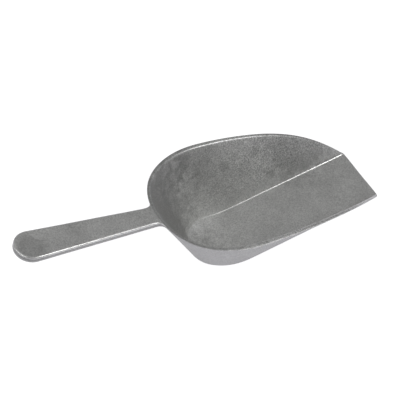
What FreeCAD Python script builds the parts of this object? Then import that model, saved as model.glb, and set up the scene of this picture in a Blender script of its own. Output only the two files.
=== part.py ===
import FreeCAD, Part
import math
import os

from FreeCAD import Vector

# Cast scoop with a flat-bottomed bowl and a flat tapered handle. Millimetres.
# The underside lies on z = 0, +X points out over the lip, the scoop is symmetric about y = 0.
# Outlines are written with s, the distance behind the lip edge.

# bowl
LIP_X = 70.0                # lip edge in front of the middle of the flat underside
FLOOR_T = 1.8               # floor thickness
NOSE_R = 1.1                # rounding of the lip seen from the side
CORNER_R = 3.0              # rounding of the two lip corners seen from above
CORNER_Y = 22.7             # end of the straight lip on each side
CORNER_SWEEP = 62.0         # degrees turned by each lip corner
TOP_Z = 82.0                # the walls are built up to here, then trimmed to the rim

# the floor is flat in the middle and dishes up to meet the wall: (along the side, round the back)
DISH_RISE_IN = (0.3, 7.5)   # height gained inside
DISH_RISE_OUT = (0.3, 8.0)  # and on the underside
RISE_GROWS = (0.96, 1.53)   # stations between which it rises

# handle
PITCH = 19.3                # degrees, rising backward
ROOT_S = 182.2              # the handle leaves the back of the rim
ROOT_TOP_Z = 77.4
END_S = 282.8               # tip of the rounded end
ROOT_W = 15.2
END_W = 23.7
HANDLE_T = 5.4
EDGE_R = 1.3                # rounding of the long edges
FLARE_R = 5.0               # plan fillets where the handle widens into the bowl
FLARE_SWEEP = 75.0          # degrees turned by each flare
GUSSET_R = 4.5              # fillet between the underside of the handle and the back wall
BURIED = 10.0               # the handle is built this far into the bowl, then trimmed to it

# rough sizes of the trimming bodies, all clear of the scoop
AHEAD = 120.0
SIDE_RUN = 260.0
HALF_SPAN = 100.0
BACK_RUN = 20.0

TINY = 1e-6


def handle_plane_z(s):
    """Height of the handle's top face, which carries on the rear slope of the rim."""
    return ROOT_TOP_Z + (s - ROOT_S) * math.tan(math.radians(PITCH))


# rim height as a side-view curve of (s, z) poles; the last two lie on the handle's top plane
RIM_POLES = [(NOSE_R, 2.0), (27.9, 29.3), (75.6, 49.1), (135.3, 65.5)]
RIM_POLES += [(s, handle_plane_z(s)) for s in (168.1, 180.0)]
RIM_KNOTS = [0.0, 0.45, 0.8, 1.0]


class Outline:
    """Half plan outline: a side run, then one cubic quarter round the back."""

    def __init__(self, half_width, side_end, back, fullness, flare=0.0):
        self.half_width = half_width
        self.side_end = side_end
        self.back = back
        self.fullness = fullness    # 0.55 gives an ellipse, more squares the corner
        self.flare = flare          # extra half width at the lip

    def point(self, t):
        """t runs 0..1 along the side and 1..2 round the back; t < 0 lies in front of the lip."""
        if t < 0.0:
            return AHEAD * t, self.half_width + self.flare
        if t <= 1.0:
            return self.side_end * t, self.half_width + self.flare * (1.0 - t * t)
        u = t - 1.0
        run = self.back - self.side_end
        slope = 2.0 * self.flare / self.side_end    # at which the side run closes in
        weights = [(1.0 - u) ** 3, 3.0 * u * (1.0 - u) ** 2, 3.0 * u * u * (1.0 - u), u ** 3]
        along = weights[1] * self.fullness + weights[2] + weights[3]
        across = self.half_width * (weights[0] + weights[1] + weights[2] * self.fullness)
        across -= slope * run * self.fullness * weights[1]
        return self.side_end + run * along, across


FLAT_IN = Outline(15.0, 100.0, 112.0, 0.6)                # edge of the truly flat floor
FLAT_OUT = Outline(18.8, 106.0, 131.0, 0.6)               # edge of the flat underside
CREASE = Outline(23.0, 115.1, 151.5, 0.672)               # where the inner walls meet the floor
INNER_TOP = Outline(56.5, 125.2, 182.3, 0.598, flare=10.1)
HEEL = Outline(24.2, 115.6, 153.1, 0.645)                 # where the outer walls meet the table
OUTER_TOP = Outline(60.6, 125.2, 184.6, 0.572, flare=9.6)

STATIONS = [-0.1] + [k / 10.0 for k in range(21)]


def at(s, y, z):
    return Vector(LIP_X - s, y, z)


def grown(values, stations, t):
    """Constant along the side, growing smoothly towards the back."""
    k = min(max((t - stations[0]) / (stations[1] - stations[0]), 0.0), 1.0)
    return values[0] + (values[1] - values[0]) * k * k * (3.0 - 2.0 * k)


def section(flat, low, high, z_low, rises, t, side):
    """One wall section: the dish arc, tangent to the floor, then the straight leaning wall."""
    s0, y0 = low.point(t)
    s1, y1 = high.point(t)
    corner = at(s0, side * y0, z_low)
    top = at(s1, side * y1, TOP_Z)
    flat_s, flat_y = flat.point(t)
    start = at(flat_s, side * flat_y, z_low)
    crease = corner + (top - corner) * (grown(rises, RISE_GROWS, t) / (TOP_Z - z_low))
    out = Vector(crease.x - start.x, crease.y - start.y, 0)
    rise = crease.z - start.z
    radius = (out.Length ** 2 + rise ** 2) / (2 * rise)
    turn = math.atan2(rise, out.Length)         # half of the angle turned by the arc
    up = Vector(0, 0, radius * (1 - math.cos(turn)))
    middle = start + out.normalize() * (radius * math.sin(turn)) + up
    return Part.Wire([Part.Arc(start, middle, crease).toShape(), Part.makeLine(crease, top)])


def tub(flat, low, high, z_low, rises):
    """Closed body: flat bottom, dished band, leaning wall, flat top and front."""
    near = [section(flat, low, high, z_low, rises, t, -1) for t in STATIONS]
    far = [section(flat, low, high, z_low, rises, t, 1) for t in STATIONS[:-1]]
    skin = Part.makeLoft(near + far[::-1], False, False)
    faces = list(skin.Faces)
    front = near[0].Edges + far[0].Edges
    for level in (z_low, TOP_Z):
        for edge in skin.Edges:
            a, b = [vertex.Point for vertex in edge.Vertexes]
            if abs(a.z - level) < TINY and abs(b.z - level) < TINY:
                closing = Part.makeLine(a, b)
                faces.append(Part.Face(Part.Wire([edge, closing])))
                front.append(closing)
    faces.append(Part.Face(Part.Wire(Part.__sortEdges__(front))))
    shell = Part.makeShell(faces)
    shell.sewShape()
    return Part.Solid(shell)


def across(edges):
    """Close a side view and run it right across the scoop."""
    face = Part.Face(Part.Wire(Part.__sortEdges__(edges)))
    face.translate(Vector(0, -HALF_SPAN, 0))
    return face.extrude(Vector(0, 2 * HALF_SPAN, 0))


def side_profile():
    """Side view of the bowl: lip nose, the rim curve, then room behind and below."""
    middle_z = FLOOR_T / 2
    under_lip = at(NOSE_R, 0, middle_z - NOSE_R)
    nose = Part.Arc(under_lip, at(0, 0, middle_z), at(NOSE_R, 0, middle_z + NOSE_R))
    rim = Part.BSplineCurve()
    poles = [at(s, 0, z) for s, z in RIM_POLES]
    rim.buildFromPolesMultsKnots(poles, [4, 1, 1, 4], RIM_KNOTS, False, 3)
    back = RIM_POLES[-1][0] + BACK_RUN
    high_back = at(back, 0, handle_plane_z(back))
    low_back = at(back, 0, under_lip.z)
    lines = [(poles[-1], high_back), (high_back, low_back), (low_back, under_lip)]
    return across([nose.toShape(), rim.toShape()] + [Part.makeLine(a, b) for a, b in lines])


def plan_outline():
    """Plan view: the straight lip, its two rounded corners and room for the flaring rim."""
    sweep = math.radians(CORNER_SWEEP)

    def corner(angle, side):
        s = CORNER_R * (1 - math.cos(angle))
        return at(s, side * (CORNER_Y + CORNER_R * math.sin(angle)), -FLOOR_T)

    edges = [Part.makeLine(corner(0, -1), corner(0, 1))]
    ends = []
    for side in (1, -1):
        start = corner(sweep, side)
        end = start + Vector(-math.sin(sweep), side * math.cos(sweep), 0) * SIDE_RUN
        edges.append(Part.Arc(corner(0, side), corner(sweep / 2, side), start).toShape())
        edges.append(Part.makeLine(start, end))
        ends.append(end)
    edges.append(Part.makeLine(ends[0], ends[1]))
    face = Part.Face(Part.Wire(Part.__sortEdges__(edges)))
    return face.extrude(Vector(0, 0, HALF_SPAN))


def handle_plan():
    """Tapered outline with a round end and flared root, in the handle's top plane (d back, y)."""
    length = (END_S - ROOT_S) / math.cos(math.radians(PITCH))
    end_r = END_W / 2
    centre = length - end_r
    taper = math.asin((end_r - ROOT_W / 2) / centre)
    edges = []
    ends = []
    insides = []
    for side in (1, -1):
        start = Vector(FLARE_R, side * (ROOT_W / 2 + FLARE_R * math.tan(taper)), 0)
        end = Vector(centre - end_r * math.sin(taper), side * end_r * math.cos(taper), 0)
        hub = start + Vector(-math.sin(taper), side * math.cos(taper), 0) * FLARE_R

        def flare(degrees):
            turn = math.radians(degrees) - taper
            return hub - Vector(math.sin(turn), side * math.cos(turn), 0) * FLARE_R

        inside = Vector(-BURIED, flare(FLARE_SWEEP).y, 0)
        edges.append(Part.Arc(start, flare(FLARE_SWEEP / 2), flare(FLARE_SWEEP)).toShape())
        edges.append(Part.makeLine(start, end))
        edges.append(Part.makeLine(flare(FLARE_SWEEP), inside))
        ends.append(end)
        insides.append(inside)
    edges.append(Part.Arc(ends[0], Vector(length, 0, 0), ends[1]).toShape())
    edges.append(Part.makeLine(insides[0], insides[1]))
    return Part.Face(Part.Wire(Part.__sortEdges__(edges)))


def handle_plate():
    """The outline thickened downward and pitched, with its long edges rounded."""
    plate = handle_plan().extrude(Vector(0, 0, -HANDLE_T))
    long_edges = []
    for edge in plate.Edges:
        ends = [vertex.Point for vertex in edge.Vertexes]
        upright = abs(ends[0].z - ends[-1].z) > TINY
        buried = all(p.x < -BURIED + TINY for p in ends)
        if not upright and not buried:
            long_edges.append(edge)
    plate = plate.makeFillet(EDGE_R, long_edges)
    turn = FreeCAD.Placement(at(ROOT_S, 0, ROOT_TOP_Z), FreeCAD.Rotation(Vector(0, 0, 1), 180))
    tilt = FreeCAD.Placement(Vector(0, 0, 0), FreeCAD.Rotation(Vector(0, 1, 0), -PITCH))
    plate.Placement = turn.multiply(tilt)
    return plate


def gusset():
    """Fillet under the handle's root, tangent to its underside and to the back wall."""
    rise = math.radians(PITCH)
    along = Vector(-math.cos(rise), 0, math.sin(rise))
    wall_foot = at(HEEL.back, 0, 0)
    down = (wall_foot - at(OUTER_TOP.back, 0, TOP_Z)).normalize()
    under = at(ROOT_S, 0, ROOT_TOP_Z) + Vector(-math.sin(rise), 0, -math.cos(rise)) * HANDLE_T
    # the underside line meets the wall line where under + a * along = wall_foot - b * down
    gap = wall_foot - under
    a = (gap.x * down.z - gap.z * down.x) / (along.x * down.z - along.z * down.x)
    meet = under + along * a
    half_angle = along.getAngle(down) / 2
    reach = GUSSET_R / math.tan(half_angle)
    middle = meet + (along + down).normalize() * (GUSSET_R / math.sin(half_angle) - GUSSET_R)
    back = meet + along * reach
    foot = meet + down * reach
    top = back + Vector(math.sin(rise), 0, math.cos(rise)) * (HANDLE_T / 2)
    inner_top = top - along * (reach + BURIED)
    inner_foot = foot + Vector(BURIED, 0, 0)
    lines = [(back, top), (top, inner_top), (inner_top, inner_foot), (inner_foot, foot)]
    fillet = Part.Arc(back, middle, foot).toShape()
    wedge = across([fillet] + [Part.makeLine(p, q) for p, q in lines])
    width = ROOT_W - 2 * EDGE_R
    keep = Part.makeBox(END_S, width, TOP_Z, Vector(LIP_X - END_S, -width / 2, 0))
    return wedge.common(keep)


outer = tub(FLAT_OUT, HEEL, OUTER_TOP, 0.0, DISH_RISE_OUT)
cavity = tub(FLAT_IN, CREASE, INNER_TOP, FLOOR_T, DISH_RISE_IN)
trim = side_profile().common(plan_outline())
bowl = outer.common(trim).cut(cavity).Solids[0]
handle = handle_plate().fuse(gusset()).cut(outer).Solids[0]

os.makedirs("parts", exist_ok=True)
bowl.exportStep("parts/bowl.step")
handle.exportStep("parts/handle.step")
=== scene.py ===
import math

import bmesh
import bpy
import numpy as np
from mathutils import Matrix, Vector, noise


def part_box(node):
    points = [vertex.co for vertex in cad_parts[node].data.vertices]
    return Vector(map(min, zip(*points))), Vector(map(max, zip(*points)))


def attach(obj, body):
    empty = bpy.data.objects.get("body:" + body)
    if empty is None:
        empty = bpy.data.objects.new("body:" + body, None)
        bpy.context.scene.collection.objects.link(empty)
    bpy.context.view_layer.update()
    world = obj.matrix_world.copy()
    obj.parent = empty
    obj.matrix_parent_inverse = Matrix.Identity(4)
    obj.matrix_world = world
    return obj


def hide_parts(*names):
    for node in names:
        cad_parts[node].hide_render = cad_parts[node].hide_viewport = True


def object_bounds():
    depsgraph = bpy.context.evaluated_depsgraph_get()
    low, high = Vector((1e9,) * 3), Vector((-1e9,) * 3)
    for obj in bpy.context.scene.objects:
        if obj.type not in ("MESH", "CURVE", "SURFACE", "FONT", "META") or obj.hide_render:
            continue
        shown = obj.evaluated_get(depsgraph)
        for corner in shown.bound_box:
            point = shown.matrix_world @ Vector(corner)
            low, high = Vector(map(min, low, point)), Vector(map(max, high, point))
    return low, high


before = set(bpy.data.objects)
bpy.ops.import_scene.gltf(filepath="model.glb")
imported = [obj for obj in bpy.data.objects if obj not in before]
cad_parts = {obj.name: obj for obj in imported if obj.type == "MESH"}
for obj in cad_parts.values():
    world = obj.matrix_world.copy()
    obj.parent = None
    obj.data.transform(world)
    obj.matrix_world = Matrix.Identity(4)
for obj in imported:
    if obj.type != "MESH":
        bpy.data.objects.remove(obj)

cad_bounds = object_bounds()
MM_PER_M = 1000.0
BOWL_LO, BOWL_HI = (np.array(corner) * MM_PER_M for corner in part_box("bowl"))
HANDLE_LO, HANDLE_HI = (np.array(corner) * MM_PER_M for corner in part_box("handle"))

# ---------------------------------------------------------------- driving dimensions, millimetres
# s is the distance behind the lip edge, z the height above the table.

LIP_X = BOWL_HI[0]
TABLE_Z = BOWL_LO[2]
FLOOR_T = 1.8
TOP_Z = 82.0                        # level where the upper outlines are given

# the floor dishes up to meet the wall: (along the side, round the back)
DISH_RISE_IN = (0.3, 7.5)           # height it gains inside
DISH_RISE_OUT = (0.3, 8.0)          # and on the underside
RISE_GROWS = (0.96, 1.53)           # stations between which it rises
CREASE_R = 1.7                      # rounding where the dish meets the inner wall
HEEL_R = 2.6                        # and the outer wall
NOSE_R = 0.75                       # both edges of the lip
CORNER_R = 3.0                      # lip corners seen from above
CORNER_Y = 22.7
CORNER_SWEEP = math.radians(62.0)
RIM_IN_R = 1.5
RIM_OUT_R = 0.6
FRONT_FADE = 12.0                   # the rounding of the lip corners dies out over this length

# the walls die out at the lip, so each rounding also takes at most a share of what is there
DISH_SHARE = 0.4                    # the dish, of the wall's height
CREASE_SHARE = 0.4                  # the crease, of the wall's length
RIM_DROP_SHARE = 0.45               # the rim, of the wall's length
RIM_IN_SHARE = 0.6                  # the rim's inner rounding, of its width
RIM_OUT_SHARE = 0.3                 # and its outer rounding
LIP_SHARE = 0.42                    # each edge of the lip, of its thickness

# half plan outlines: half width, end of the side run, back, fullness, extra half width at the lip
FLAT_IN = (15.0, 100.0, 112.0, 0.6, 0.0)
FLAT_OUT = (18.8, 106.0, 131.0, 0.6, 0.0)
CREASE = (23.0, 115.1, 151.5, 0.672, 0.0)
INNER_TOP = (56.5, 125.2, 182.3, 0.598, 10.1)
HEEL = (24.2, 115.6, 153.1, 0.645, 0.0)
OUTER_TOP = (60.6, 125.2, 184.6, 0.572, 9.6)

PITCH = math.radians(19.3)
ROOT_S = 182.2
ROOT_TOP_Z = 77.4
ROOT_W = 15.2
END_W = HANDLE_HI[1] - HANDLE_LO[1]
HANDLE_T = 5.4
EDGE_R = 1.3
END_S = LIP_X - HANDLE_LO[0] - (HANDLE_T - EDGE_R) * math.sin(PITCH)    # tip of the top face
FLARE_Y = 11.0                      # half width of the handle where it runs out into the rim
FLARE_D = 6.5                       # length of the flare along the handle

RIM_START = 1.1
RIM_FRONT_SLOPE = 0.1               # of the rim in front of its start
RIM_POLES = (2.0, 29.3, 49.1, 65.5)
RIM_KNOTS = (0.0, 0.0, 0.0, 0.0, 0.45, 0.8, 1.0, 1.0, 1.0, 1.0)
RIM_POLE_S = (168.1, 180.0)         # last two poles of the rim lie on the handle's top plane

# gentle waviness left by the mould and the tumbling, in metres
WAVE_PER_M = 38.0
WAVE_HEIGHT = 0.00007
RIPPLE_FINER = 2.7                  # a finer wave on top
RIPPLE_SHARE = 0.5

# mesh densities
ARC_SEGS = 4
FLAT_SEGS = 2
DISH_SEGS = 8
CREASE_SEGS = 5
FRONT_ROWS_S = (0.0, 2.0, 3.4, 5.0, 7.0, 9.4)   # rows close behind the lip
EVEN_ROWS_S = 12.0                  # even rows from here to the end of the side
EVEN_ROWS = 40
TURN_ROWS = 13                      # rows round the back corner
TURN_END = 1.5                      # station where the rows give way to columns
BACK_COLS = 14                      # columns on each side, from there to the handle
PATCH_COLS = 6                      # columns of the back wall on each side of the handle's middle
PATCH_ROWS = 8
RIM_AGAINST_TOP = 0.95              # width of the rim near the handle, against the upper outline
FINE_ROW = 1.15                     # spacing of the wall's rows beside the handle
WIDE_ROWS = (1.6, 5.2)              # and of the first and last row below
WIDE_ROW_COUNT = 17
SIDE_SEGS = PATCH_ROWS - ARC_SEGS
HANDLE_ROWS = 34
END_ROWS = 7                        # rows on each side of the handle's round end
END_TURN = math.pi / 4              # where they give way to columns
BLEND_RINGS = 8
BLEND_PULL = 1.15                   # length of the blend's tangents against the gap it bridges
BLEND_LEAN = math.radians(45.0)     # turn of the tangents low on the flare, towards its side

# wear and painted light: 1 is worn bright and smooth with a painted highlight, below 0 is painted
# shade, duller than the rest
RIM_TOP_WEAR = 0.4
# painted highlight along the rounded crease, which is also made smoother
CREASE_PAINTED_HIGHLIGHT = (0.3, 0.8, 1.0, 0.8, 0.3)
HANDLE_SIDE_PAINTED_SHADE = (-1.0, -0.4)     # painted shade just under the handle's worn, highlighted top edge, and at the lower edge

SQUARE_EDGE = math.sin(math.radians(45.0))      # conic weight of a circular arc round a square edge
BISECTIONS = 40                     # halvings used to find where the wall meets the rim
WELD = 1e-6                         # metres
TINY = 1e-12
JUST_UNDER_ONE = 1.0 - 1e-9


def place(s, y, z):
    """Part frame position in millimetres of a point given by its distance behind the lip."""
    return np.stack(np.broadcast_arrays(LIP_X - s, y, TABLE_Z + z), axis=-1)


# ---------------------------------------------------------------- bowl shape

def outline(shape, t):
    """Half plan outline at station t: 0..1 along the side, 1..2 round the back."""
    half_width, side_end, back, fullness, flare = shape
    a = np.clip(t, 0.0, 1.0)
    u = np.clip(t - 1.0, 0.0, 1.0)
    w0, w1, w2, w3 = (1 - u) ** 3, 3 * u * (1 - u) ** 2, 3 * u * u * (1 - u), u ** 3
    s = side_end * a + (back - side_end) * (w1 * fullness + w2 + w3)
    slope = 2 * flare / side_end                # at which the side run closes in
    y = half_width * (w0 + w1 + w2 * fullness) + flare * (1 - a * a)
    y = y - slope * (back - side_end) * fullness * w1
    return s, y


def handle_plane_z(s):
    return ROOT_TOP_Z + (s - ROOT_S) * math.tan(PITCH)


def rim_height(s):
    """Height of the rim's top: a clamped cubic spline in s, carried on by the handle's plane."""
    poles = RIM_POLES + tuple(handle_plane_z(p) for p in RIM_POLE_S)
    end = RIM_POLE_S[-1]
    u = np.clip((s - RIM_START) / (end - RIM_START), 0.0, JUST_UNDER_ONE)
    spans = len(RIM_KNOTS) - 1
    basis = [((u >= RIM_KNOTS[i]) & (u < RIM_KNOTS[i + 1])).astype(float) for i in range(spans)]
    for degree in (1, 2, 3):
        raised = []
        for i in range(spans - degree):
            left = RIM_KNOTS[i + degree] - RIM_KNOTS[i]
            right = RIM_KNOTS[i + degree + 1] - RIM_KNOTS[i + 1]
            value = 0.0 * u
            if left > 0:
                value = value + (u - RIM_KNOTS[i]) / left * basis[i]
            if right > 0:
                value = value + (RIM_KNOTS[i + degree + 1] - u) / right * basis[i + 1]
            raised.append(value)
        basis = raised
    z = sum(b * p for b, p in zip(basis, poles))
    z = np.where(s > end, handle_plane_z(s), z)
    return np.where(s < RIM_START, RIM_POLES[0] - RIM_FRONT_SLOPE * (RIM_START - s), z)


def corner_setback(y):
    """How far the rounded lip corner lies behind the straight lip."""
    x = np.clip((np.abs(y) - CORNER_Y) / CORNER_R, 0.0, math.sin(CORNER_SWEEP))
    return CORNER_R * (1.0 - np.sqrt(1.0 - x * x))


UP = np.array([0.0, 0.0, 1.0])
MIRROR = np.array([1.0, -1.0, 1.0])


def unit(v):
    return v / np.maximum(np.linalg.norm(v, axis=-1, keepdims=True), TINY)


def dot(a, b):
    return (a * b).sum(axis=-1, keepdims=True)


def grown(values, between, t):
    """Constant along the side, growing smoothly between two stations."""
    k = np.clip((t - between[0]) / (between[1] - between[0]), 0.0, 1.0)
    return (values[0] + (values[1] - values[0]) * k * k * (3 - 2 * k))[:, None]


def conic(a, corner, b, weight, count):
    """Rounded corner from a to b; with the right weight it is a circular arc."""
    f = np.linspace(0.0, 1.0, count + 1)[:, None, None]
    wa, wc, wb = (1 - f) ** 2, 2 * f * (1 - f) * weight[None], f * f
    return (wa * a[None] + wc * corner[None] + wb * b[None]) / (wa + wc + wb)


def stations():
    """Station values of one half: rows along the side, then columns to the middle of the back."""
    run = np.linspace(EVEN_ROWS_S, CREASE[1], EVEN_ROWS)
    side = np.concatenate([FRONT_ROWS_S, run]) / CREASE[1]
    turn = np.linspace(1.0, TURN_END, TURN_ROWS + 1)[1:]
    # next to the middle of the back the rim's y changes by this much for each unit of station
    spread = 3.0 * OUTER_TOP[0] * OUTER_TOP[3] * RIM_AGAINST_TOP
    patch_edge = FLARE_Y / spread
    outer = np.linspace(2.0 - TURN_END, patch_edge, BACK_COLS + 1)[1:]
    inner = np.linspace(patch_edge, 0.0, PATCH_COLS + 1)[1:]
    rows = np.concatenate([side, turn])
    return np.concatenate([rows, 2.0 - outer, 2.0 - inner]), len(rows) - 1


T, SIDE_ROWS = stations()
FADE = np.clip(1.0 - T * CREASE[1] / FRONT_FADE, 0.0, 1.0)


def wall(flat, low, high, z_low, rises, radius):
    """One wall of the far half, as (path over the dish and the rounded crease, where that path ends
    on the leaning wall, sharp rim edge, unit direction up the wall)."""
    s0, y0 = outline(low, T)
    s1, y1 = outline(high, T)
    corner = np.stack([s0, y0, 0 * s0 + z_low], axis=-1)
    top = np.stack([s1, y1, 0 * s1 + TOP_Z], axis=-1)
    lo, hi = np.zeros((len(T), 1)), np.ones((len(T), 1))
    for _ in range(BISECTIONS):
        middle = (lo + hi) / 2
        p = corner + (top - corner) * middle
        s = p[:, 0] + corner_setback(p[:, 1]) * FADE
        above = (p[:, 2] > rim_height(s))[:, None]
        lo, hi = np.where(above, lo, middle), np.where(above, middle, hi)
    edge = corner + (top - corner) * lo
    up = unit(top - corner)
    height = (edge - corner)[:, 2:]
    rise = np.minimum(grown(rises, RISE_GROWS, T), DISH_SHARE * height)
    flat_s, flat_y = outline(flat, T)
    start = np.stack([flat_s, flat_y, 0 * flat_s + z_low], axis=-1)
    crease = corner + up * rise / up[:, 2:]
    out = (crease - start) * np.array([1.0, 1.0, 0.0])
    run = np.linalg.norm(out, axis=-1, keepdims=True)
    out = out / run
    dish_radius = (run ** 2 + rise ** 2) / (2 * rise)
    turn = 2 * np.arctan2(rise, run)
    slope = out * np.cos(turn) + UP * np.sin(turn)
    bend = np.arccos(np.clip(dot(slope, up), -1, 1)) / 2
    length = np.linalg.norm(edge - crease, axis=-1, keepdims=True)
    reach = np.minimum(radius * np.tan(bend), CREASE_SHARE * length)
    angle = np.linspace(0.0, 1.0, DISH_SEGS + 1)[:, None, None] * (turn - reach / dish_radius)[None]
    dish = start[None] + (out * dish_radius)[None] * np.sin(angle)
    dish = dish + UP * dish_radius[None] * (1 - np.cos(angle))
    end = crease + up * reach
    fillet = np.concatenate([dish[:-1], conic(dish[-1], crease, end, np.cos(bend), CREASE_SEGS)])
    return fillet, end, edge, up


def rim_round(edge, up, across, radius):
    """Where the rounding of a rim edge starts on the wall and ends on the rim's top."""
    run = unit(np.gradient(edge, axis=0))
    run[-1] = (0.0, -1.0, 0.0)
    down = -(up - dot(up, run) * run)
    level = across - dot(across, run) * run
    sin_down = np.linalg.norm(down, axis=-1, keepdims=True)
    sin_level = np.linalg.norm(level, axis=-1, keepdims=True)
    half = np.arccos(np.clip(dot(unit(down), unit(level)), -1, 1)) / 2
    reach = radius / np.tan(half)
    return reach / sin_down, reach / sin_level, np.sin(half)


def wall_rows():
    """Fractions down the wall from the rim: an even fine part beside the handle, then wider rows."""
    fine = np.arange(PATCH_ROWS + 1) * FINE_ROW
    wide = fine[-1] + np.cumsum(np.linspace(WIDE_ROWS[0], WIDE_ROWS[1], WIDE_ROW_COUNT))
    rows = np.concatenate([fine, wide])
    return rows / rows[-1]


ROW_F = wall_rows()


def half_bowl():
    """The far half in (s, y, z): inner and outer sheet, the rounded rim between them, and the
    sheets' front edges with their first point on the sharp rim."""
    fillet_i, end_i, edge_i, up_i = wall(FLAT_IN, CREASE, INNER_TOP, FLOOR_T, DISH_RISE_IN, CREASE_R)
    fillet_o, end_o, edge_o, up_o = wall(FLAT_OUT, HEEL, OUTER_TOP, 0.0, DISH_RISE_OUT, HEEL_R)

    def set_back(p):
        q = p.copy()
        q[..., 0] += corner_setback(p[..., 1]) * FADE
        return q

    edge_i, edge_o = set_back(edge_i), set_back(edge_o)
    across = unit(edge_o - edge_i)
    width = np.linalg.norm(edge_o - edge_i, axis=-1, keepdims=True)
    drop_i, level_i, weight_i = rim_round(edge_i, up_i, across, RIM_IN_R)
    drop_o, level_o, weight_o = rim_round(edge_o, up_o, -across, RIM_OUT_R)
    length_i = np.linalg.norm(edge_i - end_i, axis=-1, keepdims=True)
    length_o = np.linalg.norm(edge_o - end_o, axis=-1, keepdims=True)
    drop_i = np.minimum(drop_i, RIM_DROP_SHARE * length_i)
    drop_o = np.minimum(drop_o, RIM_DROP_SHARE * length_o)
    level_i = np.minimum(level_i, RIM_IN_SHARE * width)
    level_o = np.minimum(level_o, RIM_OUT_SHARE * width)

    def sheet(fillet, end, edge, up, drop):
        start = edge - up * drop
        end = set_back(end)
        rows = [start + (end - start) * f for f in ROW_F]
        arc = [set_back(p) for p in fillet[::-1]][1:]
        return np.stack(rows + arc, axis=1)      # station, row from the rim down to the floor

    inner = sheet(fillet_i, end_i, edge_i, up_i, drop_i)
    outer = sheet(fillet_o, end_o, edge_o, up_o, drop_o)
    flat_a = edge_i + across * level_i
    flat_b = edge_o - across * level_o
    nose = np.array([NOSE_R, 0.0, 0.0])
    front = (inner[0].copy(), outer[0].copy())
    front[0][0], front[1][0] = edge_i[0], edge_o[0]
    inner[0] += nose
    outer[0] += nose
    first = conic(inner[:, 0], edge_i, flat_a, weight_i, ARC_SEGS)
    flat = np.stack([flat_a + (flat_b - flat_a) * f for f in np.linspace(0, 1, FLAT_SEGS + 1)])
    last = conic(flat_b, edge_o, outer[:, 0], weight_o, ARC_SEGS)
    rim = np.concatenate([first, flat[1:-1], last]).transpose(1, 0, 2)     # station, profile
    return inner, outer, rim, front


def tongue_patch(side, back, front):
    """Grid filling a tongue-shaped area: the near side is the mirror of `side`, `back` and `front`
    run from near to far. All in (s, y, z)."""
    near = side * MIRROR
    cols = len(back)
    u = (side[:, 0] - side[0, 0]) / (side[-1, 0] - side[0, 0])
    v_front = (front[:, 1] - front[0, 1]) / (front[-1, 1] - front[0, 1])
    v_back = (back[:, 1] - back[0, 1]) / (back[-1, 1] - back[0, 1])
    u = u[:, None]
    v = (1 - u) * v_front[None, :] + u * v_back[None, :]
    u, v = u[..., None], v[..., None]
    grid = (1 - u) * front[None] + u * back[None] + (1 - v) * near[:, None] + v * side[:, None]
    grid -= (1 - u) * (1 - v) * near[0] + (1 - u) * v * side[0]
    grid -= u * (1 - v) * near[-1] + u * v * side[-1]
    return grid


def full_loop(half):
    """Far half stations 0..end joined to their mirror: runs near lip corner, back, far lip corner."""
    return np.concatenate([half * MIRROR, half[-2::-1]])


class Builder:
    """Collects grids of points; equal points are welded when the mesh is made."""

    def __init__(self):
        self.verts = []
        self.wear_and_painted_light = []
        self.faces = []
        self.parts = []

    def grid(self, points, part, wear_and_painted_light=None, keep=None):
        """points: rows x columns x 3; then one value per column of wear and painted light; keep(i, j)
        picks the quads.
        """
        rows, cols = points.shape[:2]
        base = len(self.verts)
        self.verts.extend(points.reshape(-1, 3).tolist())
        self.wear_and_painted_light.extend(list(wear_and_painted_light if wear_and_painted_light is not None else [0.0] * cols) * rows)
        for i in range(rows - 1):
            for j in range(cols - 1):
                if keep is None or keep(i, j):
                    a = base + i * cols + j
                    self.faces.append((a, a + 1, a + cols + 1, a + cols))
                    self.parts.append(part)


def profile_wear_and_painted_light(between, second):
    """Wear and painted highlight across a rim or edge: full on the first rounding, less on the second.
    """
    arc = [math.sin(math.pi * (k + 0.5) / (ARC_SEGS + 1)) for k in range(ARC_SEGS + 1)]
    return arc + list(between) + [second * value for value in arc]


def bowl_grids(build):
    """Adds the bowl, open at the handle's root; returns that opening as (top, far, bottom, near)."""
    inner, outer, rim, front = half_bowl()
    centre = len(T) - 1                      # index of the middle of the back in a full loop
    loops = [full_loop(part) for part in (inner, outer, rim)]

    def beside_handle(i):
        return centre - PATCH_COLS <= i < centre + PATCH_COLS

    first_outer = ARC_SEGS + FLAT_SEGS
    # the roundings of the rim and the lip are worn and carry a painted highlight
    rim_wear_and_painted_highlight = profile_wear_and_painted_light([RIM_TOP_WEAR] * (FLAT_SEGS - 1), RIM_TOP_WEAR)
    # painted highlight along the crease between floor and wall
    crease_painted_highlight = [0.0] * (len(ROW_F) - 1) + list(CREASE_PAINTED_HIGHLIGHT) + [0.0] * (DISH_SEGS + 1)
    build.grid(loops[2], "bowl", rim_wear_and_painted_highlight, lambda i, j: not (beside_handle(i) and j >= first_outer))
    build.grid(loops[0], "bowl", crease_painted_highlight)
    build.grid(loops[1], "bowl", None, lambda i, j: not (beside_handle(i) and j < PATCH_ROWS))
    floor_and_lip(build, (inner, outer), front, loops[2], rim_wear_and_painted_highlight)

    low, high = centre - PATCH_COLS, centre + PATCH_COLS
    top = loops[2][low:high + 1, first_outer]
    far = np.concatenate([loops[2][high, first_outer:], loops[1][high, 1:PATCH_ROWS + 1]])
    near = np.concatenate([loops[2][low, first_outer:], loops[1][low, 1:PATCH_ROWS + 1]])
    bottom = loops[1][low:high + 1, PATCH_ROWS]
    return top, far, bottom, near


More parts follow.
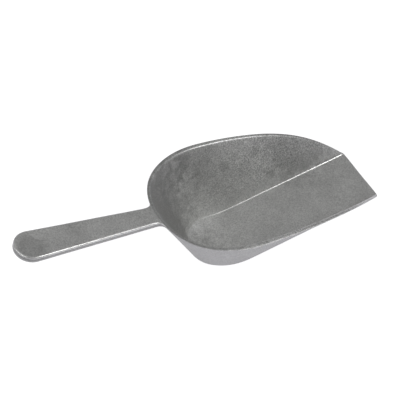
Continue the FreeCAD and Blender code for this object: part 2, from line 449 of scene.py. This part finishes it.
def floor_and_lip(build, sheets, front, rim_loop, rim_wear_and_painted_highlight):
    """Adds the flat floor, the flat underside and the rounded lip between their front edges."""
    profiles = []
    edges = []
    for sheet, sharp in zip(sheets, front):
        foot = sheet[:, -1]
        cols = 2 * (len(T) - 1 - SIDE_ROWS)
        y = np.linspace(-foot[0, 1], foot[0, 1], cols + 1)
        row = np.stack([0 * y + foot[0, 0], y, 0 * y + foot[0, 2]], axis=-1)
        side = foot[:SIDE_ROWS + 1]
        back = full_loop(foot[SIDE_ROWS:])
        build.grid(tongue_patch(side, back, row), "bowl")
        sheet_line = np.concatenate([sheet[0] * MIRROR, row[1:-1], sheet[0][::-1]])
        row_sharp = row[1:-1] - np.array([NOSE_R, 0.0, 0.0])
        sharp_line = np.concatenate([sharp * MIRROR, row_sharp, sharp[::-1]])
        profiles.append(sheet_line)
        edges.append(sharp_line)
    gap = edges[1] - edges[0]
    span = np.linalg.norm(gap, axis=-1, keepdims=True)
    reach = np.minimum(NOSE_R, LIP_SHARE * span)
    flat_a = edges[0] + unit(gap) * reach
    flat_b = edges[1] - unit(gap) * reach
    weight = np.full((len(gap), 1), SQUARE_EDGE)
    first = conic(profiles[0], edges[0], flat_a, weight, ARC_SEGS)
    last = conic(flat_b, edges[1], profiles[1], weight, ARC_SEGS)
    flat = np.stack([flat_a + (flat_b - flat_a) * f for f in np.linspace(0, 1, FLAT_SEGS + 1)])
    lip = np.concatenate([first, flat[1:-1], last]).transpose(1, 0, 2)
    lip[0], lip[-1] = rim_loop[0], rim_loop[-1]
    build.grid(lip, "bowl", rim_wear_and_painted_highlight)


# ---------------------------------------------------------------- handle shape

BACKWARD = np.array([math.cos(PITCH), 0.0, math.sin(PITCH)])
UPWARD = np.array([-math.sin(PITCH), 0.0, math.cos(PITCH)])
SIDEWAYS = np.array([0.0, 1.0, 0.0])
ROOT = np.array([ROOT_S, 0.0, ROOT_TOP_Z])


def on_handle(d, y, depth):
    """Point in (s, y, z) at distance d back along the handle, y across and depth below its top."""
    d, y, depth = (np.asarray(v, float)[..., None] for v in (d, y, depth))
    return ROOT + BACKWARD * d + SIDEWAYS * y - UPWARD * depth


def handle_outline():
    """Half outline of the handle as (d, y), its outward normal, and how many points are rows."""
    length = (END_S - ROOT_S) / math.cos(PITCH)
    end_r = END_W / 2
    centre = length - end_r
    taper = math.asin((end_r - ROOT_W / 2) / centre)
    tangent = centre - end_r * math.sin(taper)
    d = np.linspace(FLARE_D, tangent, HANDLE_ROWS)
    y = ROOT_W / 2 + d * math.tan(taper)
    y = y[-1] + (y - y[-1]) * (end_r * math.cos(taper) - ROOT_W / 2) / (y[-1] - ROOT_W / 2)
    angle = np.linspace(math.pi / 2 + taper, END_TURN, END_ROWS + 1)[1:]
    last = np.linspace(END_TURN, 0.0, PATCH_COLS + 1)[1:]
    rows = len(d) + len(angle)
    turn = np.concatenate([np.full(len(d), math.pi / 2 + taper), angle, last])
    normal = np.stack([np.cos(turn), np.sin(turn)], axis=-1)
    cap = np.stack([centre + end_r * np.cos(turn[len(d):]), end_r * np.sin(turn[len(d):])], axis=-1)
    line = np.stack([d, y], axis=-1)
    return np.concatenate([line, cap]), normal, rows


def handle_grids(build, root_loop):
    """Adds the bar with its rounded edges and flat faces, then the flare that joins it to the bowl."""
    points, normal, rows = handle_outline()
    quarter = np.linspace(0.0, math.pi / 2, ARC_SEGS + 1)
    out = [EDGE_R * math.sin(a) for a in quarter]
    depth = [EDGE_R * (1 - math.cos(a)) for a in quarter]
    straight = np.linspace(EDGE_R, HANDLE_T - EDGE_R, SIDE_SEGS + 1)[1:-1]
    # painted shade down the handle's sides, under the painted highlight on the worn top edge
    side_painted_light = np.linspace(HANDLE_SIDE_PAINTED_SHADE[0], HANDLE_SIDE_PAINTED_SHADE[1], len(straight))
    out += [EDGE_R] * len(straight) + [EDGE_R * math.cos(a) for a in quarter]
    depth += list(straight) + [HANDLE_T - EDGE_R + EDGE_R * math.sin(a) for a in quarter]
    edge = []
    for o, h in zip(out, depth):
        p = points + normal * (o - EDGE_R)
        edge.append(on_handle(p[:, 0], p[:, 1], np.full(len(p), h)))
    edge = np.stack(edge, axis=1)            # station, profile from top to underside
    build.grid(full_loop(edge), "handle", profile_wear_and_painted_light(side_painted_light, 0.0))
    faces = []
    for column in (0, -1):
        line = edge[:, column]
        side = line[:rows]
        back = full_loop(line[rows - 1:])
        f = np.linspace(-1.0, 1.0, 2 * PATCH_COLS + 1)
        front = line[0] * np.stack([0 * f + 1.0, f, 0 * f + 1.0], axis=-1)
        build.grid(tongue_patch(side, back, front), "handle")
        faces.append(front)
    flared_root(build, root_loop, edge, faces, profile_wear_and_painted_light(side_painted_light, 0.0))


def flared_root(build, root_loop, edge, faces, side_painted_light):
    """Each point of the loop on the bowl runs over to the matching point of the bar's section."""
    top, far, bottom, near = root_loop
    slope = unit(bottom[PATCH_COLS] - top[PATCH_COLS])
    across = np.linspace(-1.0, 1.0, 2 * PATCH_COLS + 1)
    down = np.linspace(0.0, 1.0, len(far))

    def lean(a, b, amount):
        return unit(a * np.cos(amount)[:, None] + b * np.sin(amount)[:, None])

    rim_run = unit(top[-2] - top[-1])
    lower_half = np.clip((down - 0.5) * 2.0, 0.0, 1.0)
    up_wall = np.tile(-slope, (len(far), 1))
    far_dir = lean(np.tile(rim_run, (len(far), 1)), up_wall, BLEND_LEAN * lower_half ** 2)
    near_dir = far_dir * MIRROR
    centre_pull = np.where(across[:, None] > 0, rim_run, rim_run * MIRROR)
    to_side = np.abs(across) ** 3
    top_dir = lean(np.tile(BACKWARD, (len(top), 1)), centre_pull, math.pi / 2 * to_side)
    low_dir = lean(np.tile(-slope, (len(top), 1)), centre_pull, BLEND_LEAN * to_side)
    sections = ((top, faces[0], top_dir), (far, edge[0], far_dir), (bottom, faces[1], low_dir),
                (near, edge[0] * MIRROR, near_dir))
    for start, end, direction in sections:
        size = BLEND_PULL * np.linalg.norm(end - start, axis=-1, keepdims=True)
        rings = []
        for f in np.linspace(0.0, 1.0, BLEND_RINGS + 1):
            from_start = 2 * f ** 3 - 3 * f * f + 1
            leaving = f ** 3 - 2 * f * f + f
            arriving = f ** 3 - f * f
            ring = from_start * start + leaving * direction * size
            rings.append(ring + (1 - from_start) * end + arriving * BACKWARD * size)
        wear_and_painted_light = side_painted_light if start is far or start is near else None
        build.grid(np.stack(rings), "handle", wear_and_painted_light)


PARTS = ("bowl", "handle")


def add_object(name, data):
    obj = bpy.data.objects.new(name, data)
    bpy.context.scene.collection.objects.link(obj)
    return obj


def joined_surface():
    """The whole casting as one closed surface; a face layer tells the bowl from the handle."""
    build = Builder()
    root_loop = bowl_grids(build)
    handle_grids(build, root_loop)
    raw = np.array(build.verts)
    world = place(raw[:, 0], raw[:, 1], raw[:, 2]) / MM_PER_M
    bm = bmesh.new()
    wear_and_painted_light = bm.verts.layers.float.new("wear_and_painted_light")
    layer = bm.faces.layers.int.new("part")
    verts = [bm.verts.new(p) for p in world]
    for vert, value in zip(verts, build.wear_and_painted_light):
        vert[wear_and_painted_light] = value
    for face, part in zip(build.faces, build.parts):
        bm.faces.new([verts[i] for i in face])[layer] = PARTS.index(part)
    bmesh.ops.remove_doubles(bm, verts=bm.verts, dist=WELD)
    unused = [vert for vert in bm.verts if not vert.link_faces]
    bmesh.ops.delete(bm, geom=unused, context="VERTS")
    bmesh.ops.recalc_face_normals(bm, faces=bm.faces)
    for face in bm.faces:
        face.smooth = True
    bm.normal_update()
    for vert in bm.verts:
        wave = noise.noise(vert.co * WAVE_PER_M)
        wave += RIPPLE_SHARE * noise.noise(vert.co * WAVE_PER_M * RIPPLE_FINER)
        vert.co += vert.normal * wave * WAVE_HEIGHT
    bm.normal_update()
    return bm


def make_pieces():
    """Cut the surface at the handle's root; both sides keep its shading normals, so no seam shows."""
    bm = joined_surface()
    normals = {tuple(v.co): v.normal.copy() for v in bm.verts}
    pieces = []
    for index, name in enumerate(PARTS):
        part = bm.copy()
        layer = part.faces.layers.int["part"]
        bmesh.ops.delete(part, geom=[f for f in part.faces if f[layer] != index], context="FACES")
        mesh = bpy.data.meshes.new("cast_" + name)
        part.to_mesh(mesh)
        part.free()
        mesh.normals_split_custom_set_from_vertices([normals[tuple(v.co)] for v in mesh.vertices])
        piece = add_object("cast_" + name, mesh)
        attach(piece, "root")
        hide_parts(name)
        pieces.append(piece)
    bm.free()
    return pieces


# ---------------------------------------------------------------- material

TONE = (0.7, 0.702, 0.69)
DOWNWARD_PAINTED_SHADE = 0.83                 # painted shade: tone of the faces that look down, against those that look up
FACING = (-0.1, 0.1)                # upward part of the normal between the two
HANDLE_LIGHTER = 1.05               # the handle is a little lighter than the bowl, between
HANDLE_FROM_X = -0.138              # these distances along the scoop
BOWL_TO_X = -0.116

# noises: scale per metre, detail, roughness, distortion
GRAIN = (1000.0, 3.0, 0.75, 0.0)
MOTTLE = (330.0, 4.0, 0.7, 0.4)
CLOUD = (60.0, 4.0, 0.6, 0.5)
FRAY = (110.0, 5.0, 0.65, 0.6)
NOISE_SPAN = (0.3, 0.7)             # nearly all of a noise lies in here

MOTTLE_AMOUNT = 0.06
CLOUD_AMOUNT = 0.05
BOWL_SPECKLE = (0.2, 0.2, 0.5)      # low down, then higher up at the back and at the front
HANDLE_SPECKLE = (0.18, 0.18, 0.18)
SPECKLE_LEVELS = (0.004, 0.020)     # heights between the floor's speckle and the walls'
SPECKLE_ALONG = (-0.100, 0.030)     # the walls' speckle grows between these distances

# darker and lighter patches: centre, radius, darkening. The first, large one darkens the back of the
# bowl as painted shade; the last, lighter one lightens the floor at the back again
BOWL_PATCHES = (
    # painted shade at the back of the bowl
    ((-0.114, -0.008, 0.056), 0.078, 0.31),
    ((-0.080, 0.042, 0.066), 0.030, 0.18),
    ((-0.058, 0.044, 0.060), 0.022, 0.10),
    ((-0.055, 0.036, 0.042), 0.014, 0.08),
    ((-0.034, 0.039, 0.036), 0.006, 0.14),
    ((-0.007, 0.040, 0.036), 0.004, 0.12),
    ((-0.092, 0.026, 0.052), 0.007, 0.10),
    ((0.034, 0.038, 0.028), 0.040, 0.25),
    ((0.058, 0.0, 0.002), 0.034, 0.07),
    ((0.012, 0.004, 0.0), 0.046, 0.05),
    # lighter: lifts the floor at the back partly out of the painted shade
    ((-0.068, 0.006, 0.006), 0.030, -0.09),
)
HANDLE_PATCHES = (
    ((-0.204, -0.004, 0.109), 0.014, 0.20),
    ((-0.168, 0.006, 0.097), 0.010, 0.07),
)
PATCH_FRAY = 0.25                   # how far a patch's border strays from its radius
PATCH_CORE = 0.55                   # share of the radius that has the full darkening

# how much wear and painted highlight brighten the tone, and painted shade darkens it
WEAR_AND_PAINTED_LIGHT_GAIN = 0.3
WORN_SMOOTHER = 0.22
WORN_BREAKS = (0.3, 0.6)            # the mottle thins the wear out below these levels
WORN_LEAST = 0.7
ROUGHNESS = (0.46, 0.54)
ROUGH_BY_CLOUD = 0.6                # share of the clouds in the roughness, the rest is mottle
PIT_LEVELS = (0.25, 0.45)
GRAIN_HEIGHT = 0.5                  # against the pits and clouds
BUMP_STRENGTH = 0.3
BUMP_DISTANCE = 0.0001


class Nodes:
    """Short way to write a material's node tree."""

    def __init__(self, name):
        self.material = bpy.data.materials.new(name)
        self.material.use_nodes = True
        self.tree = self.material.node_tree
        self.shader = self.tree.nodes["Principled BSDF"]
        self.coordinates = self.add("TexCoord").outputs

    def add(self, kind, inputs=None, **settings):
        node = self.tree.nodes.new("ShaderNode" + kind)
        for key, value in settings.items():
            setattr(node, key, value)
        for key, value in (inputs or {}).items():
            self.set(node.inputs[key], value)
        return node

    def set(self, socket, value):
        if isinstance(value, bpy.types.NodeSocket):
            self.tree.links.new(value, socket)
        else:
            socket.default_value = value

    def noise(self, scale, detail, roughness, distortion):
        inputs = {"Scale": scale, "Detail": detail, "Roughness": roughness, "Distortion": distortion}
        inputs["Vector"] = self.coordinates["Object"]
        return self.add("TexNoise", inputs).outputs["Fac"]

    def remap(self, value, span, to_low=0.0, to_high=1.0):
        inputs = {"Value": value, "From Min": span[0], "From Max": span[1]}
        inputs.update({"To Min": to_low, "To Max": to_high})
        return self.add("MapRange", inputs, interpolation_type="SMOOTHSTEP").outputs["Result"]

    def about_one(self, value, amount):
        """A noise stretched to run from 1 - amount to 1 + amount."""
        return self.remap(value, NOISE_SPAN, 1.0 - amount, 1.0 + amount)

    def math(self, operation, a, b):
        return self.add("Math", {0: a, 1: b}, operation=operation).outputs[0]

    def plus(self, a, b):
        return self.math("ADD", a, b)

    def minus(self, a, b):
        return self.math("SUBTRACT", a, b)

    def times(self, a, b):
        return self.math("MULTIPLY", a, b)


def patches_and_painted_shade(n, patches, fray):
    """Factor on the tone made by the soft-edged patches, each (centre, radius, darkening); some of
    them are painted shade.
    """
    factor = 1.0
    for centre, radius, darkening in patches:
        inputs = {0: n.coordinates["Object"], 1: centre}
        away = n.add("VectorMath", inputs, operation="DISTANCE").outputs["Value"]
        ragged = n.remap(fray, NOISE_SPAN, (1.0 - PATCH_FRAY) * radius, (1.0 + PATCH_FRAY) * radius)
        share = n.math("DIVIDE", away, ragged)
        factor = n.times(factor, n.remap(share, (PATCH_CORE, 1.0), 1.0 - darkening, 1.0))
    return factor


def cast_aluminium(name, patches, speckle):
    """Dull tumbled cast aluminium: speckled grain, cloudy tone, darker and lighter patches inside with
    painted shade at the back of the bowl, painted shade on faces that look down, worn edges with
    painted highlights and painted shade under the handle's edge.
    """
    n = Nodes(name)
    grain = n.noise(*GRAIN)
    mottle = n.noise(*MOTTLE)
    cloud = n.noise(*CLOUD)
    wear_and_painted_light = n.add("Attribute", attribute_name="wear_and_painted_light").outputs["Fac"]
    position = n.add("SeparateXYZ", {0: n.coordinates["Object"]}).outputs
    normal = n.add("SeparateXYZ", {0: n.coordinates["Normal"]}).outputs

    on_wall = n.remap(position["X"], SPECKLE_ALONG, speckle[1], speckle[2])
    amount = n.remap(position["Z"], SPECKLE_LEVELS, speckle[0], on_wall)
    value = n.plus(1.0, n.times(amount, n.remap(grain, NOISE_SPAN, -1.0, 1.0)))
    value = n.times(value, n.about_one(mottle, MOTTLE_AMOUNT))
    value = n.times(value, n.about_one(cloud, CLOUD_AMOUNT))
    # painted shade: faces that look down, and the handle's sides in part, get a darker tone; the
    # patches show only on faces that look up
    upward = n.remap(normal["Z"], FACING)
    inside = n.minus(patches_and_painted_shade(n, patches, n.noise(*FRAY)), DOWNWARD_PAINTED_SHADE)
    value = n.times(value, n.plus(DOWNWARD_PAINTED_SHADE, n.times(upward, inside)))
    value = n.times(value, n.remap(position["X"], (HANDLE_FROM_X, BOWL_TO_X), HANDLE_LIGHTER, 1.0))
    # worn edges and painted highlights brighten and smooth, painted shade darkens
    worn_and_painted_light = n.times(wear_and_painted_light, n.remap(mottle, WORN_BREAKS, WORN_LEAST, 1.0))
    value = n.times(value, n.plus(1.0, n.times(worn_and_painted_light, WEAR_AND_PAINTED_LIGHT_GAIN)))
    colour = n.add("VectorMath", {0: TONE, "Scale": value}, operation="SCALE").outputs[0]
    n.set(n.shader.inputs["Base Color"], colour)
    n.set(n.shader.inputs["Metallic"], 1.0)

    patchy = n.plus(n.times(cloud, ROUGH_BY_CLOUD), n.times(mottle, 1.0 - ROUGH_BY_CLOUD))
    rough = n.remap(patchy, NOISE_SPAN, *ROUGHNESS)
    n.set(n.shader.inputs["Roughness"], n.minus(rough, n.times(worn_and_painted_light, WORN_SMOOTHER)))

    pits = n.remap(mottle, PIT_LEVELS)
    height = n.plus(n.times(grain, GRAIN_HEIGHT), n.plus(pits, cloud))
    inputs = {"Strength": BUMP_STRENGTH, "Distance": BUMP_DISTANCE, "Height": height}
    n.set(n.shader.inputs["Normal"], n.add("Bump", inputs).outputs[0])
    return n.material


cast_bowl, cast_handle = make_pieces()
cast_bowl.data.materials.append(cast_aluminium("cast_bowl", BOWL_PATCHES, BOWL_SPECKLE))
cast_handle.data.materials.append(cast_aluminium("cast_handle", HANDLE_PATCHES, HANDLE_SPECKLE))

# ---------------------------------------------------------------- camera

AZIMUTH = math.radians(28.414)      # the camera looks this far round from +Y towards +X
ELEVATION = math.radians(55.068)
ROLL = math.radians(-1.179)
DISTANCE = 0.8008
VIEW_ANGLE = math.radians(21.719)
AIM_OFFSET = Vector((0.01119, 0.02958, -0.03475))   # aim of the camera from the part's middle
CLIP_END = 20.0

PART_LO, PART_HI = (Vector(corner) for corner in cad_bounds)
PART_MIDDLE = (PART_LO + PART_HI) / 2


def make_camera():
    data = bpy.data.cameras.new("camera")
    data.sensor_fit = "HORIZONTAL"
    data.angle = VIEW_ANGLE
    data.clip_end = CLIP_END
    upright = Vector((0.0, 0.0, 1.0))
    level = Vector((math.cos(AZIMUTH), -math.sin(AZIMUTH), 0.0))
    flat = Vector((math.sin(AZIMUTH), math.cos(AZIMUTH), 0.0))
    look = flat * math.cos(ELEVATION) - upright * math.sin(ELEVATION)
    rise = flat * math.sin(ELEVATION) + upright * math.cos(ELEVATION)
    right = level * math.cos(ROLL) + rise * math.sin(ROLL)
    up = rise * math.cos(ROLL) - level * math.sin(ROLL)
    pose = Matrix((right, up, -look)).transposed().to_4x4()
    pose.translation = PART_MIDDLE + AIM_OFFSET - look * DISTANCE
    camera = add_object("camera", data)
    camera.matrix_world = pose
    bpy.context.scene.camera = camera


# ---------------------------------------------------------------- stage and light

WHITE = (1.0, 1.0, 1.0, 1.0)
FLOOR_HALF = 6.0
FLOOR_DROP = 0.0002                 # below the part, so that the two do not touch
FLOOR_COLOUR = (0.85, 0.85, 0.86, 1.0)
FLOOR_ROUGHNESS = 0.9
FLOOR_GLOW_SEEN = 0.75              # the floor is white to the camera
FLOOR_GLOW_REFLECTED = 0.24         # and dimmer, slightly violet, where the metal reflects it
FLOOR_TINT_REFLECTED = (0.98, 0.95, 1.06, 1.0)
WORLD_LOW = 0.2                     # at the horizon
WORLD_HIGH = 0.34                   # where a direction rises at least this much
WORLD_HIGH_Z = 0.7
LAMP_DISTANCE = 1.3


def make_floor():
    mesh = bpy.data.meshes.new("floor")
    corners = [(-1, -1), (1, -1), (1, 1), (-1, 1)]
    level = PART_LO.z - FLOOR_DROP
    mesh.from_pydata([(x * FLOOR_HALF, y * FLOOR_HALF, level) for x, y in corners], [], [(0, 1, 2, 3)])
    n = Nodes("floor")
    n.set(n.shader.inputs["Base Color"], FLOOR_COLOUR)
    n.set(n.shader.inputs["Roughness"], FLOOR_ROUGHNESS)
    seen = n.add("LightPath").outputs["Is Camera Ray"]
    glow = n.remap(seen, (0.0, 1.0), FLOOR_GLOW_REFLECTED, FLOOR_GLOW_SEEN)
    mix = n.add("Mix", data_type="RGBA")
    factor, reflected, direct = mix.inputs[0], mix.inputs[6], mix.inputs[7]
    n.set(factor, seen)
    n.set(reflected, FLOOR_TINT_REFLECTED)
    n.set(direct, WHITE)
    n.set(n.shader.inputs["Emission Color"], mix.outputs[2])
    n.set(n.shader.inputs["Emission Strength"], glow)
    mesh.materials.append(n.material)
    add_object("floor", mesh)


def softbox(name, direction, width, length, radiance):
    """Area light aimed at the scoop, its length level. radiance is what the scoop sees of it."""
    light = bpy.data.lights.new(name, "AREA")
    light.shape = "RECTANGLE"
    light.size = length
    light.size_y = width
    light.energy = radiance * math.pi * width * length
    lamp = add_object(name, light)
    lamp.location = PART_MIDDLE + Vector(direction).normalized() * LAMP_DISTANCE
    lamp.rotation_euler = (PART_MIDDLE - lamp.location).to_track_quat("-Z", "Y").to_euler()


def studio_world():
    """Even white surround, darker towards the horizon."""
    world = bpy.data.worlds.new("world")
    bpy.context.scene.world = world
    world.use_nodes = True
    tree = world.node_tree
    direction = tree.nodes.new("ShaderNodeTexCoord").outputs["Generated"]
    split = tree.nodes.new("ShaderNodeSeparateXYZ")
    tree.links.new(direction, split.inputs["Vector"])
    ramp = tree.nodes.new("ShaderNodeMapRange")
    tree.links.new(split.outputs["Z"], ramp.inputs["Value"])
    ramp.inputs["From Min"].default_value = 0.0
    ramp.inputs["From Max"].default_value = WORLD_HIGH_Z
    ramp.inputs["To Min"].default_value = WORLD_LOW
    ramp.inputs["To Max"].default_value = WORLD_HIGH
    background = tree.nodes["Background"].inputs
    background["Color"].default_value = WHITE
    tree.links.new(ramp.outputs["Result"], background["Strength"])


make_camera()
make_floor()
studio_world()
softbox("key", direction=(0.55, -0.52, 0.65), width=0.3, length=0.4, radiance=6.5)
softbox("back strip", direction=(-0.7, -0.1, 0.68), width=0.25, length=1.4, radiance=2.5)
bpy.context.scene.view_settings.view_transform = "Standard"
